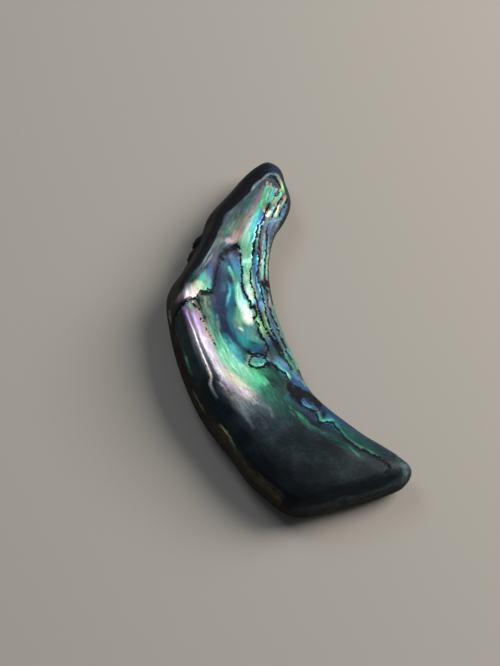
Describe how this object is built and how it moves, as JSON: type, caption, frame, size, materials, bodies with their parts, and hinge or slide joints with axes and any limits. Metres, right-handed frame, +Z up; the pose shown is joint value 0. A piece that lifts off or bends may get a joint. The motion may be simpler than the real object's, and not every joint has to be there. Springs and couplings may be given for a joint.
{
  "type": "polished abalone shell crescent",
  "caption": "Polished crescent of abalone shell with a hollowed nacre face, layered inner slope, dark rims and an arched back.",
  "frame": {"origin": "on the surface that the piece rests on, under the middle of its footprint", "axes": "+Z up out of the coloured face, +Y along the length towards the blunt tip, +X towards the hollow inner side"},
  "size_m": [0.0328, 0.0598, 0.0082],
  "materials": {
    "nacre": "polished mother-of-pearl, blue and green with dark rims"
  },
  "bodies": {
    "root": {"shell_piece": "nacre"}
  },
  "joints": []
}
